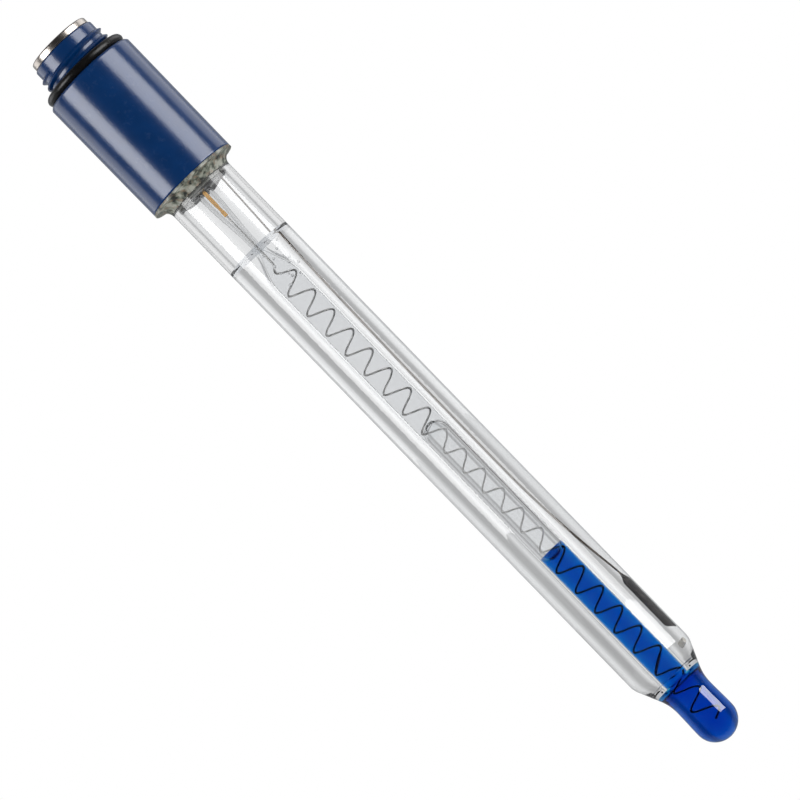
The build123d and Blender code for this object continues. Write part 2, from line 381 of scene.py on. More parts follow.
def turned(name, outline, sides=SIDES, closed=False):
    """A piece turned about the axis from the (radius, height) points of its outline, in millimetres."""
    piece = traced(name, outline + outline[:1] if closed else outline)
    bpy.ops.mesh.spin(steps=sides, angle=2 * pi, center=(0, 0, 0), axis=(0, 0, 1))
    bpy.ops.mesh.select_all(action="SELECT")
    bpy.ops.mesh.remove_doubles(threshold=MERGE)
    bpy.ops.mesh.normals_make_consistent(inside=False)
    leave()
    return piece


def smooth(piece, angle=30):
    """Smooth shading, with edges sharper than an angle kept."""
    alone(piece)
    bpy.ops.object.shade_smooth_by_angle(angle=radians(angle))


def dressed(piece, slot, *materials, replaces=(), angle=30):
    """Shades a finished piece and gives it its materials, its body and the nodes it stands for."""
    smooth(piece, angle)
    for material in materials:
        piece.data.materials.append(material)
    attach(piece, "root")
    if replaces:
        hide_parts(*replaces)


def strand(name, points, radius):
    """A round wire along points in millimetres, as a mesh from one smooth spline."""
    curve = bpy.data.curves.new(name, "CURVE")
    curve.dimensions = "3D"
    spline = curve.splines.new("NURBS")
    spline.points.add(len(points) - 1)
    for point, place in zip(spline.points, points):
        point.co = (*(Vector(place) * MM), 1)
    spline.order_u = 3
    spline.use_endpoint_u = True
    curve.resolution_u = 3
    curve.bevel_depth = radius * MM
    curve.bevel_resolution = 2
    curve.use_fill_caps = True
    piece = bpy.data.objects.new(name, curve)
    bpy.context.scene.collection.objects.link(piece)
    alone(piece)
    bpy.ops.object.convert(target="MESH")
    return bpy.context.object


def offset_bulb(g, inset, top):
    """Outline of the bulb, waist and taper from the tip up to a height, drawn in by inset."""
    taper = degrees(g.taper)
    bulb, waist, bend = g.bulb / MM, g.waist / MM, g.waist_bend / MM
    z_dome = z_tip + bulb
    z_waist = z_tip + waist_rise
    points = arc((0, z_dome), bulb - inset, -90, -8, 14)
    points += eased((bulb - inset, z_dome), (waist - inset, z_waist), 6)
    points += arc((waist + bend, z_waist), bend + inset, 180, 180 - taper, 8)[1:]
    r, z = points[-1]
    points.append((r + (top - z) * tan(radians(taper)), top))
    return points


def taper_bore(g, z):
    """Radius of the outer tube's bore in the taper under the shoulder, at a height in millimetres."""
    bend = (g.shoulder - g.wall) / MM
    r0 = (g.shaft - g.shoulder) / MM + bend * cos(g.taper)
    return r0 - (z_shoulder - bend * sin(g.taper) - z) * tan(g.taper)


class ELECTRODE_OT_glass(bpy.types.Operator):
    """Makes the fused glass body: shaft, shoulder, bulb and inner stem in one"""

    bl_idname = "electrode.glass"
    bl_label = "Glass body"

    def execute(self, context):
        g = context.scene.electrode_glass
        level = context.scene.electrode_filling
        taper = degrees(g.taper)
        shaft, wall, bend = g.shaft / MM, g.wall / MM, g.shoulder / MM
        bore = shaft - wall
        stem, stem_bore = g.stem / MM, (g.stem - g.stem_wall) / MM
        choke, funnel, thin = g.choke / MM, g.funnel / MM, g.stem_wall / MM
        z_gel, z_fill = level.gel_level / MM, level.fill_low / MM
        seam_half, narrow, fillet = 0.08, 0.5, 0.3
        outline = offset_bulb(g, 0, z_seam - seam_half)
        r_seam = outline[-1][0]
        outline += [(r_seam + 0.06, z_seam + seam_half)]
        outline += arc((shaft - bend, z_shoulder), bend, -taper, 0, 12)
        outline += [(shaft, z) for z in (z_low_loop, z_high_loop, z_cement)]
        outline += [(shaft - ground, z_cement), (shaft - ground, z_tube_top), (bore, z_tube_top)]
        outline += [(bore, z) for z in (z_potting, z_gel, z_high_loop, z_low_loop)]
        outline += arc((shaft - bend, z_shoulder), bend - wall, 0, -taper, 8)
        outline += [(taper_bore(g, z_floor), z_floor)]
        outline += [(stem, z) for z in (z_floor, z_low_loop, z_stem_loop)]
        outline += eased((stem, z_flare), (choke, z_choke - narrow), 12)[:-1]
        outline += [(choke, z_choke - narrow), (choke, z_choke)]
        outline += eased((choke, z_choke), (funnel, z_potting), 8)[1:]
        outline += [(funnel, z_funnel_top), (funnel - thin, z_funnel_top)]
        outline += eased((funnel - thin, z_potting), (choke - thin, z_choke), 8)
        outline += eased((choke - thin, z_choke), (stem_bore, z_flare), 12)[1:]
        outline += [(stem_bore, z) for z in (z_stem_loop, z_fill, z_buffer, z_foot_loop)]
        outline += arc((stem_bore + fillet, z_seal + fillet), fillet, 180, 270, 4)
        outline += offset_bulb(g, g.membrane / MM, z_seal)[::-1]
        body = turned("glass_body", outline)
        walls = (
            clear_wall("glass_in_air", GLASS / AIR, g.tint),
            clear_wall("glass_in_gel", GLASS / GEL, g.tint),
            clear_wall("glass_in_liquid", GLASS / WATER, g.tint),
            clear_wall("membrane_in_air", GLASS / AIR, g.tint, shine=0.45),
            self.painted_seam_shadow(),
        )
        to_gel, to_liquid, membrane, seam = 1, 2, 3, 4
        dressed(body, "clear_glass", *walls, replaces=("outer_tube", "inner_stem", "ph_bulb"))
        past_stem = 3  # the floor round the stem has its middle outside this radius, in millimetres
        for face in body.data.polygons:
            r = face.center.xy.length / MM
            z = face.center.z / MM
            outward = face.normal.xy.dot(face.center.xy) > 0
            in_stem = r < stem_bore + 0.05 and not outward
            in_bulb = z < z_seal + 0.4 and self.inside(g, r, z)
            if z_floor - 0.1 < z < z_gel and stem * 0.3 < r < bore + 0.01 and (outward or r >= past_stem):
                face.material_index = to_gel
            if z < z_seal and not in_bulb:
                face.material_index = membrane
            # faces at the seam get the painted shadow line
            if abs(z - z_seam) < seam_half - 0.01 and r > r_seam - 0.5:
                face.material_index = seam
            if in_bulb or (in_stem and (z_fill < z < z_choke or z < z_buffer)):
                face.material_index = to_liquid
        return {"FINISHED"}

    def painted_seam_shadow(self):
        """Painted shadow line where the glasses are fused: a dark line on the glass, broken here and there."""
        f = finish("fused_seam_painted_shadow")
        # painted shadow: the dark stop of this ramp paints the seam's shadow line on the glass
        gap = f.ramp(f.noise(1.3, detail=2.0), (0.42, (0.015, 0.02, 0.04, 1)), (0.6, (0.6, 0.62, 0.66, 1)))
        rough = f.noise(0.5) * 0.2 + 0.1
        return f.surface(Base_Color=gap, Roughness=rough, IOR=GLASS, Transmission_Weight=1.0)

    def inside(self, g, r, z):
        """True for the wall that the buffer wets in the bulb."""
        skin = offset_bulb(g, g.membrane / MM / 2, z_seal + 0.5)
        for (r0, z0), (r1, z1) in zip(skin, skin[1:]):
            if z0 <= z <= z1:
                return r < r0 + (r1 - r0) * (z - z0) / (z1 - z0)
        return False


class ELECTRODE_OT_fillings(bpy.types.Operator):
    """Makes the blue buffer, the clear filling above its air gap, and the gel round the stem"""

    bl_idname = "electrode.fillings"
    bl_label = "Fillings"

    def execute(self, context):
        g = context.scene.electrode_glass
        f = context.scene.electrode_filling
        stem_bore = (g.stem - g.stem_wall) / MM - slack
        dish = f.buffer_dish / MM
        outline = offset_bulb(g, g.membrane / MM + slack, z_seal - slack)
        outline += [(stem_bore, z_seal - slack), (stem_bore, z_foot_loop)]
        outline += self.meniscus(stem_bore, z_buffer, -dish)
        buffer = turned("blue_buffer", outline, sides=96)
        surface = self.free("buffer_surface", WATER)
        dressed(buffer, "blue_buffer", self.blue(f), surface, replaces=("buffer_fill",))
        self.mark_free(buffer, lambda r, z: z > z_buffer - dish - 0.2)
        z_fill, rise = f.fill_low / MM, f.fill_dish / MM
        throat = (g.choke - g.stem_wall) / MM - slack
        outline = self.meniscus(stem_bore, z_fill, rise)[::-1]
        z_end = z_choke - 0.01
        outline += [(stem_bore, z_stem_loop), *eased((stem_bore, z_flare), (throat, z_end), 12), (0, z_end)]
        filling = turned("clear_filling", outline, sides=64)
        dressed(filling, "clear_glass", self.unseen("filling_side"), self.free("filling_surface", WATER))
        top, dome, edge = z_end - 0.04, z_fill + rise + 0.1, stem_bore - 0.01
        self.mark_free(filling, lambda r, z: z > top or z < dome and r < edge)
        self.gel(g, f)
        return {"FINISHED"}

    def gel(self, g, f):
        """The gel between the stem and the shaft, with a surface that climbs the glass."""
        z_bed = z_floor + slack
        z_gel = f.gel_level / MM
        taper = degrees(g.taper)
        shaft, wall, bend = g.shaft / MM, g.wall / MM, g.shoulder / MM
        bore, stem = shaft - wall - slack, g.stem / MM + slack
        neck = g.choke / MM + slack
        outline = [(stem, z_low_loop), (stem, z_stem_loop), *eased((stem, z_flare), (neck, z_gel), 12)]
        outline += [(neck + 0.35 * i, z_gel - 0.6 * (1 - 2.718 ** (-1.2 * i))) for i in range(1, 4)]
        outline += [(2.6, z_gel - 0.65), (3.6, z_gel - 0.62), (4.3, z_gel - 0.4), (4.7, z_gel - 0.18)]
        outline += [(bore, z_gel), (bore, z_high_loop), (bore, z_low_loop)]
        outline += arc((shaft - bend, z_shoulder), bend - wall - slack, 0, -taper, 8)
        outline += [(taper_bore(g, z_bed) - slack, z_bed), (stem, z_bed)]
        gel = turned("reference_gel", outline, sides=96, closed=True)
        faint = 1.08  # below the gel's own index, so that its surface draws only a thin line
        dressed(gel, "clear_glass", self.unseen("gel_side"), self.free("gel_surface", faint))
        self.mark_free(gel, lambda r, z: z > z_gel - 0.9 and neck + 0.05 < r < bore - 0.05)
        self.bubbles(z_gel)

    def bubbles(self, z_gel):
        """Small bubbles that hang in the gel beside the drawn-in stem."""
        bpy.ops.object.select_all(action="DESELECT")
        made, count, first, step = [], 16, 0.9, 0.48
        for i in range(count):
            turn = radians(-62 + 34 * sin(2.4 * i))
            reach = 2.6 + 0.9 * sin(1.7 * i + 0.5)
            size = 0.12 + 0.09 * (1 + sin(3.1 * i))
            place = Vector((reach * cos(turn), reach * sin(turn), z_gel - first - step * i)) * MM
            bpy.ops.mesh.primitive_uv_sphere_add(segments=24, ring_count=12, radius=size * MM, location=place)
            made.append(bpy.context.object)
        for bubble in made:
            bubble.select_set(True)
        bpy.ops.object.join()
        bpy.ops.object.transform_apply(location=True, rotation=True, scale=True)
        joined = bpy.context.object
        joined.name = "gel_bubbles"
        dressed(joined, "clear_glass", clear_wall("air_in_gel", AIR / GEL, (0.97, 0.97, 0.97, 1)))

    def meniscus(self, radius, z_edge, rise):
        """The curved free surface of a liquid in a bore, from its edge to its middle."""
        return [(radius * cos(a), z_edge + rise * sin(a)) for a in (pi / 2 * i / 8 for i in range(9))]

    def mark_free(self, piece, is_free):
        """Gives the second material to the faces of a free surface."""
        for face in piece.data.polygons:
            if is_free(face.center.xy.length / MM, face.center.z / MM):
                face.material_index = 1

    def free(self, name, index):
        """A liquid's surface against air."""
        return clear_wall(name, index / AIR, (0.97, 0.98, 0.985, 1))

    def unseen(self, name):
        """The side of a colourless filling, which the glass wall already draws."""
        f = finish(name)
        haze = f.noise(1.5) * 0.01
        return f.surface(Base_Color=(1, 1, 1, 1), Roughness=haze, IOR=1.0, Transmission_Weight=1.0)

    def blue(self, settings):
        """Blue water: tinted where light goes in and darker the deeper it goes; in the stem the tint is darker
        than in the bulb, painted shade on the same liquid.
        """
        f = finish("blue_buffer")
        cloud = f.noise(3.0, stretch=(1, 1, 2))
        in_stem = f.height() > z_seal
        # painted shade: in the stem the buffer takes the darker Buffer colour, in the bulb a pale cloudy tint
        tint = f.mix(in_stem, f.mix(cloud, (0.5, 0.98, 1, 1), (0.5, 0.9, 0.95, 1)), tuple(settings.blue))
        sockets = {"Base Color": tint, "Roughness": 0.0, "IOR": 1.0, "Transmission Weight": 1.0}
        shader = f.node("ShaderNodeBsdfPrincipled", {}, sockets)
        sockets = {"Color": tuple(settings.depth), "Density": settings.density / MM}
        depth = f.node("ShaderNodeVolumeAbsorption", {}, sockets)
        f.node("ShaderNodeOutputMaterial", {}, {"Surface": shader, "Volume": depth})
        return f.owner


class ELECTRODE_OT_measuring_wire(bpy.types.Operator):
    """Winds the silver wire as an open coil and carries it through the choke into its gold ferrule"""

    bl_idname = "electrode.measuring_wire"
    bl_label = "Measuring wire and ferrule"

    def execute(self, context):
        w = context.scene.electrode_wires
        per_turn, drawn_in = 16, 0.981  # a spline with 16 control points to a turn runs inside them
        pitch, crest = w.pitch / MM, w.crest / MM
        reach = w.coil / MM / drawn_in
        rise = pitch / per_turn
        z, z_top, z_axis = z_tip + 3.7, 31.75, 34.8  # first point, end of the coil, wire on the axis
        points = []
        while z < z_axis:
            inward = min(1.0, max(0.0, (z_axis - z) / (z_axis - z_top)))
            angle = 2 * pi * (crest - z) / pitch
            points.append((reach * inward * cos(angle), reach * inward * sin(angle), z))
            z += rise
        points += [(0, 0, z_axis + 0.5), (0, 0, 38), (0, 0, 42), (0, 0, z_ferrule + 1.5)]
        wire = strand("measuring_wire", points, w.wire / MM)
        f = finish("silver_wire")
        height = f.height()
        streak = f.noise(0.35, stretch=(1, 1, 6))
        coated = (height + streak * 0.8) < (z_buffer + 0.3)
        shade = f.mix(coated, f.mix(streak, tuple(w.silver), (0.45, 0.44, 0.43, 1)), tuple(w.chloride))
        rough = coated * 0.3 + streak * 0.2 + 0.22
        silver = f.surface(Base_Color=shade, Metallic=1 - coated, Roughness=rough, Normal=f.bump(streak, 0.01))
        dressed(wire, "silver", silver, replaces=("measuring_wire",))
        self.ferrule(w)
        return {"FINISHED"}

    def ferrule(self, w):
        """Rolled gold tube, flattened where it is crimped on the wire."""
        z0, z1, r, hole, crimp = z_ferrule, z_ferrule_top, 0.325, 0.16, 0.07
        outline = [(hole, z0), (r - 0.05, z0), (r, z0 + 0.08), (r, z0 + 0.9), (r - crimp, z0 + 1.2)]
        outline += [(r - crimp, z0 + 1.9), (r, z0 + 2.2), (r, z1 - 0.05), (r - 0.05, z1), (0, z1)]
        outline += [(0, z0 + 1.6), (hole, z0 + 1.6)]
        tube = turned("gold_ferrule", outline, sides=48)
        f = finish("gold_ferrule")
        drawn = f.noise(0.2, stretch=(1, 1, 30))
        shade = f.mix(drawn, tuple(w.gold), (0.7, 0.36, 0.08, 1))
        rough = drawn * 0.08 + 0.08
        gold = f.surface(Base_Color=shade, Metallic=1.0, Roughness=rough, Normal=f.bump(drawn, 0.004))
        dressed(tube, "gold", gold, replaces=("gold_ferrule",))


class ELECTRODE_OT_reference(bpy.types.Operator):
    """Makes the reference wire, the dark element on its end, and the porous junction"""

    bl_idname = "electrode.reference"
    bl_label = "Reference system"

    def execute(self, context):
        w = context.scene.electrode_wires
        x, z_nose, z_end = 4.1, -39.35, -49.55  # the rod's axis, the foot of its nose, the end of its long side
        x0 = 3.775  # where the wire runs in the head
        route = [(x0, 0, z_shank_end), (x0, 0, 70), (x0, 0, 60), (3.7, 0, 52), (3.3, 0, 42)]
        route += [(2.9, 0, 33), (2.7, 0, 15), (2.6, 0, 5), (2.6, 0, -10), (2.62, 0, -18), (3.1, 0, -28)]
        route += [(3.7, 0, -34), (x, 0, -37.5), (x, 0, z_nose), (x, 0, z_nose - 1.6)]
        wire = strand("reference_wire", route, w.wire / MM)
        f = finish("reference_wire")
        tarnish = f.noise(1.2, stretch=(1, 1, 5))
        shade = f.mix(tarnish, (0.2, 0.17, 0.15, 1), (0.09, 0.075, 0.065, 1))
        rough = tarnish * 0.25 + 0.3
        metal = f.surface(Base_Color=shade, Metallic=1.0, Roughness=rough, Normal=f.bump(tarnish, 0.01))
        dressed(wire, "silver", metal, replaces=("reference_wire",))
        self.element(x, z_nose, z_end)
        self.junction()
        return {"FINISHED"}

    def element(self, x, z_nose, z_end):
        """Rod of cast silver chloride, thinning out on the wire and broken off at a slant."""
        r, nose, slant = 0.65, 1.6, 1.2
        outline = [(0, z_end - slant), (r - 0.05, z_end - slant), (r, z_end - slant + 0.2)]
        outline += [(r, z_end + i * (z_nose - z_end) / 24) for i in range(1, 25)]
        outline += eased((r, z_nose), (0.2, z_nose + nose), 8)[1:] + [(0, z_nose + nose)]
        rod = turned("reference_element", outline, sides=40)
        edit(rod)
        bpy.ops.transform.translate(value=(x * MM, 0, 0))
        bpy.ops.mesh.select_all(action="SELECT")
        edge = Vector((x + r, 0, z_end)) * MM
        bpy.ops.mesh.bisect(plane_co=edge, plane_no=(slant, 0, 2 * r), use_fill=True, clear_inner=True)
        leave()
        f = finish("silver_chloride")
        grain = f.noise(0.12, detail=6.0)
        patch = f.noise(0.9, stretch=(1, 1, 2.5))
        shade = f.mix(patch * grain, (0.008, 0.007, 0.007, 1), (0.16, 0.14, 0.13, 1))
        salt = f.surface(Base_Color=shade, Roughness=grain * 0.2 + 0.6, Normal=f.bump(grain + patch, 0.08))
        dressed(rod, "silver_chloride", salt, replaces=("reference_element",))

    def junction(self):
        """Porous ceramic rod in the shoulder, ground flush with the glass."""
        turn, reach, depth, r = radians(-29), 5.86, 1.66, 0.5
        outline = [(0, 0), (r, 0), (r, depth - 0.06), (r - 0.04, depth), (0, depth)]
        rod = turned("ceramic_junction", outline, sides=40)
        place = Matrix.Translation(Vector((reach - depth, 0, z_shoulder - 0.9)) * MM)
        rod.data.transform(Matrix.Rotation(turn, 4, "Z") @ place @ Matrix.Rotation(pi / 2, 4, "Y"))
        f = finish("porous_ceramic")
        pores = f.noise(0.08, detail=5.0)
        shade = f.mix(pores, (0.92, 0.9, 0.85, 1), (0.6, 0.57, 0.5, 1))
        ceramic = f.surface(Base_Color=shade, Roughness=pores * 0.2 + 0.7, Normal=f.bump(pores, 0.05))
        dressed(rod, "ceramic", ceramic, replaces=("ceramic_junction",))


class ELECTRODE_OT_head(bpy.types.Operator):
    """Makes the blue screw head with its two-start thread, and the O-ring on it"""

    bl_idname = "electrode.head"
    bl_label = "Head and O-ring"

    def execute(self, context):
        h = context.scene.electrode_head
        rim, top, chamfer = h.rim / MM, h.top_rim / MM, h.chamfer / MM
        seat, neck, bore, lip = h.seat / MM, h.neck / MM, 4.3, 0.3
        z_seat = z_top_rim + 1.6
        outline = [(socket + 0.05, z_rim + 0.1), (rim - 0.2, z_rim), (rim - 0.06, z_rim + 0.02)]
        outline += [(rim, z_rim + 0.12), (rim, z_rim + 0.4), (rim + 0.03, z_rim + 7), (rim + 0.07, z_rim + 16)]
        z_edge = z_top_rim - chamfer
        outline += [(top, z_edge - 0.4), (top, z_edge - 0.05), (top - 0.03, z_edge + 0.03)]
        outline += [(top - chamfer + 0.04, z_top_rim - 0.03), (top - chamfer - 0.05, z_top_rim)]
        outline += [(seat + 0.1, z_top_rim), (seat, z_top_rim + 0.1)]
        outline += [(seat, z_seat - 0.15), (seat - 0.12, z_seat)]
        outline += [(neck + 0.1, z_seat), (neck, z_seat + 0.1), (neck, z_neck_end - 0.34)]
        outline += arc((neck - lip, z_neck_end - lip), lip, 0, 90, 5)
        outline += [(bore, z_neck_end), (bore, z_tube_top), (socket, z_tube_top), (socket, z_rim + 0.1)]
        shell = turned("screw_head", outline, closed=True)
        ridges = [self.ridge(h, start) for start in (0, pi)]
        bpy.ops.object.select_all(action="DESELECT")
        for part in (*ridges, shell):
            part.select_set(True)
        bpy.context.view_layer.objects.active = shell
        bpy.ops.object.join()
        dressed(shell, "head_blue", self.plastic(h), replaces=("head_shell",), angle=35)
        self.o_ring(h)
        return {"FINISHED"}

    def ridge(self, h, start):
        """One ridge of the thread: a rounded section screwed up the neck, run out at its upper end."""
        neck, crest, lead = h.neck / MM, h.thread / MM, h.lead / MM
        z0, turns, run_out = z_top_rim + 1.0, 1.12, 0.14
        half, sunk = 0.52, 0.1
        section = [(neck - sunk, -half), (neck, -half), (neck + 0.12, -half * 0.82)]
        section += [(crest - 0.16, -0.2), (crest - 0.04, -0.11), (crest, 0)]
        section += [(r, -z) for r, z in section[-2::-1]]
        ridge = traced("ridge", section + section[:1])
        bpy.ops.mesh.remove_doubles(threshold=MERGE)
        leave()
        screw = ridge.modifiers.new("screw", "SCREW")
        screw.angle = 2 * pi * turns
        screw.screw_offset = lead * turns * MM
        screw.steps = screw.render_steps = 120
        screw.use_normal_calculate = True
        bpy.ops.object.modifier_apply(modifier="screw")
        edit(ridge)
        bpy.ops.mesh.select_non_manifold()
        bpy.ops.mesh.fill_holes(sides=0)
        bpy.ops.mesh.select_all(action="SELECT")
        bpy.ops.mesh.normals_make_consistent(inside=False)
        leave()
        root, last = (neck - sunk) * MM, lead * turns * MM
        for v in ridge.data.vertices:
            fade = min(1.0, max(0.0, (1.0 - v.co.z / last) / run_out))
            r = v.co.xy.length
            v.co.xy *= (root + (r - root) * fade) / r
        ridge.data.transform(Matrix.Translation((0, 0, z0 * MM)) @ Matrix.Rotation(start, 4, "Z"))
        return ridge

    def plastic(self, h):
        """Satin blue moulding with a fine turned grain and a few rubbed places."""
        f = finish("head_plastic")
        cloud = f.noise(2.5, detail=4.0)
        grain = f.noise(0.25, detail=4.0, stretch=(1, 1, 3))
        rub = f.ramp(f.noise(1.1, detail=6.0, roughness=0.7), (0.56, grey(0)), (0.72, grey(1)))
        shade = f.mix(cloud, tuple(h.plastic), tuple(c * 1.5 for c in h.plastic[:3]) + (1,))
        shade = f.mix(rub * 0.18, shade, (0.08, 0.13, 0.25, 1))
        return f.surface(
            Base_Color=shade,
            Roughness=grain * 0.08 + cloud * 0.05 + 0.14,
            Coat_Weight=0.3,
            Coat_Roughness=0.2,
            Normal=f.bump(grain, 0.012),
        )

    def o_ring(self, h):
        """Rubber ring with its moulding line, pressed a little flat on the rim."""
        r = h.o_ring / MM
        middle = h.seat / MM + r
        section, flash, points = [], 0.02, 32
        for i in range(points):
            a = 2 * pi * i / points
            swell = r if i == 0 else r - flash
            section.append((middle + swell * cos(a), z_top_rim + r + max(-r, min(r, 1.02 * swell * sin(a)))))
        ring = turned("neck_o_ring", section, closed=True)
        f = finish("rubber")
        bloom = f.noise(0.9, detail=5.0)
        grain = f.noise(0.1, detail=3.0)
        shade = f.mix(bloom, tuple(h.rubber), (0.012, 0.01, 0.009, 1))
        rough, skin = bloom * 0.12 + 0.22, f.bump(grain, 0.01)
        rubber = f.surface(Base_Color=shade, Roughness=rough, Specular_IOR_Level=0.3, Normal=skin)
        dressed(ring, "black_rubber", rubber, replaces=("neck_o_ring",), angle=50)


class ELECTRODE_OT_contacts(bpy.types.Operator):
    """Makes the metal ring, the insulating bush and the gold pin at the top of the neck"""

    bl_idname = "electrode.contacts"
    bl_label = "Contacts"

    def execute(self, context):
        h = context.scene.electrode_head
        w = context.scene.electrode_wires
        r, hole, shank, shoulder = h.contact / MM, 3.3, 4.25, 0.35
        top, base = z_contact, z_neck_end
        outline = [(hole, z_shank_end), (shank, z_shank_end), (shank, base), (r - 0.12, base), (r, base + 0.1)]
        outline += arc((r - shoulder, top - shoulder), shoulder, 0, 90, 7)
        outline += [(4.2, top), (4.12, top - 0.03), (3.5, top - 0.03), (3.4, top - 0.07), (hole, top - 0.2)]
        ring = turned("contact_ring", outline, closed=True)
        f = finish("nickel")
        turning = f.noise(0.07, detail=2.0, stretch=(60, 60, 1))
        stain = f.noise(1.6, detail=5.0, stretch=(1, 1, 0.6))
        shade = f.mix(stain, tuple(h.nickel), (0.4, 0.36, 0.33, 1))
        metal = f.surface(
            Base_Color=shade,
            Metallic=1.0,
            Roughness=stain * 0.14 + turning * 0.08 + 0.14,
            Normal=f.bump(turning, 0.006),
        )
        dressed(ring, "nickel", metal, replaces=("contact_ring",))
        hole, rim, z_face, groove = 1.15, 3.25, top - 0.7, 0.1
        outline = [(hole, z_bush_end), (rim, z_bush_end), (rim, z_face - groove), (rim - 0.1, z_face)]
        outline += [(2.4, z_face), (2.3, z_face - groove), (1.5, z_face - groove), (1.4, z_face)]
        outline += [(hole, z_face - 0.02)]
        bush = turned("contact_bush", outline, sides=96, closed=True)
        f = finish("insulator")
        speck = f.noise(0.3, detail=5.0)
        shade = f.mix(speck, (0.76, 0.74, 0.68, 1), (0.62, 0.6, 0.54, 1))
        plastic = f.surface(Base_Color=shade, Roughness=speck * 0.15 + 0.4, Normal=f.bump(speck, 0.01))
        dressed(bush, "insulator", plastic, replaces=("contact_bush",))
        r, collar, edge, z_edge = 1.1, 2.0, 0.2, top - 0.5
        outline = [(0, z_pin_end), (collar - 0.05, z_pin_end), (collar, z_pin_end + 0.05)]
        outline += [(collar, z_bush_end), (r, z_bush_end), (r, z_edge)]
        outline += [*arc((r - edge, z_edge), edge, 0, 90, 4), (0.35, z_edge + edge), (0, top - 0.42)]
        pin = turned("centre_pin", outline, sides=64)
        f = finish("gold_pin")
        wear = f.noise(0.3, detail=5.0)
        shade = f.mix(wear, tuple(w.gold), (0.8, 0.55, 0.25, 1))
        rough = wear * 0.2 + 0.15
        gold = f.surface(Base_Color=shade, Metallic=1.0, Roughness=rough, Normal=f.bump(wear, 0.008))
        dressed(pin, "gold", gold, replaces=("centre_pin",))
        self.lead()
        return {"FINISHED"}

    def lead(self):
        """Copper finish for the lead inside the head, which stays as the frame has it."""
        f = finish("copper_lead")
        drawn = f.noise(0.3, stretch=(1, 1, 8))
        shade = f.mix(drawn, (0.78, 0.42, 0.26, 1), (0.5, 0.24, 0.14, 1))
        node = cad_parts["signal_lead"]
        node.data.materials.clear()
        node.data.materials.append(f.surface(Base_Color=shade, Metallic=1.0, Roughness=drawn * 0.2 + 0.25))


class ELECTRODE_OT_cement(bpy.types.Operator):
    """Makes the bead of cement under the head and the resin that plugs the tube"""

    bl_idname = "electrode.cement"
    bl_label = "Cement and potting"

    def execute(self, context):
        h = context.scene.electrode_head
        rim = h.rim / MM
        cove = [(rim - 2.1 * cos(a), z_cement + 1.7 * sin(a)) for a in (radians(9 * i) for i in range(11))]
        outline = [(socket, z_rim), (socket, z_cement), *cove, (rim, z_rim - 0.05), (rim - 0.05, z_rim)]
        bead = turned("tube_cement", outline, closed=True)
        f = finish("cement")
        lump = f.noise(1.4, detail=5.0, roughness=0.6)
        grain = f.noise(0.25, detail=6.0, roughness=0.7)
        spots = f.ramp(f.noise(0.8, detail=3.0), (0.52, grey(0)), (0.66, grey(1)))
        pale, olive, dark = (0.52, 0.52, 0.44, 1), (0.24, 0.26, 0.2, 1), (0.03, 0.035, 0.03, 1)
        stain = f.ramp(lump, (0.4, pale), (0.5, olive), (0.6, dark))
        low_edge = f.height() + grain * 1.2 < z_cement + 0.75
        shade = f.mix(spots * 0.6, stain, (0.34, 0.22, 0.14, 1))
        shade = f.mix(low_edge * 0.9, shade, grey(0.012))
        rough = grain * 0.3 + 0.25
        paste = f.surface(Base_Color=shade, Roughness=rough, Normal=f.bump(lump + grain * 0.4, 0.25))
        dressed(bead, "cement", paste, replaces=("tube_cement",), angle=50)
        self.potting()
        return {"FINISHED"}

    def potting(self):
        """Resin in the head and in the tube's end, with an uneven lower face."""
        funnel, shank, neck, tube, gap = 1.36, 3.24, 4.28, 4.98, 0.02
        face = ((funnel, 0.1), (2.4, 0.35), (3.4, 0.3), (4.3, 0.1), (4.75, 0.02), (tube, 0))
        outline = [(r, z_potting + rise) for r, rise in face]
        outline += [(tube, z_potting + 0.7), (tube, z_potting + 1.6), (tube, z_tube_top - 0.1)]
        outline += [(tube, z_tube_top + gap), (neck, z_tube_top + gap), (neck, z_shank_end - gap)]
        outline += [(shank, z_shank_end - gap), (shank, z_bush_end - gap), (funnel, z_bush_end - gap)]
        plug = turned("head_potting", outline, sides=96, closed=True)
        for v in plug.data.vertices:
            if v.co.z < (z_potting + 1.0) * MM:
                a = v.co.xy.angle_signed(Vector((1, 0)))
                wave = 0.5 + 0.28 * sin(3 * a + 0.6) + 0.22 * sin(7 * a + 2.0)
                v.co.z += 0.45 * MM * wave
        f = finish("potting_resin")
        cloud = f.noise(1.2, detail=5.0)
        height = f.height()
        edge = (height + cloud * 0.5) < (z_potting + 0.75)
        shade = f.mix(cloud, (0.2, 0.2, 0.17, 1), (0.5, 0.5, 0.47, 1))
        shade = f.mix(edge * 0.9, shade, (0.02, 0.018, 0.015, 1))
        resin = f.surface(Base_Color=shade, Roughness=cloud * 0.2 + 0.2, Normal=f.bump(cloud, 0.1))
        dressed(plug, "resin", resin, replaces=("head_potting",))


# Name, degrees from the camera's side towards +X, distance and (width, height) of the soft box in metres,
# height of its middle in millimetres, radiance, and whether only gloss shows it
LAMPS = (
    ("key_light", 66, 0.42, (0.32, 0.62), 60, 0.9, False),
    ("fill_light", -61, 0.42, (0.28, 0.5), 110, 0.7, False),
    ("key_shine", 64, 0.43, (0.32, 0.4), 180, 5.5, True),
    ("tip_shine", 64, 0.43, (0.32, 0.06), -34, 10.0, True),
    ("rim_shine_right", 122, 0.5, (0.32, 0.34), 210, 1.1, True),
    ("rim_shine_left", -122, 0.5, (0.32, 0.34), 210, 1.1, True),
    ("fill_shine", -61, 0.43, (0.27, 0.36), 190, 6.5, True),
)


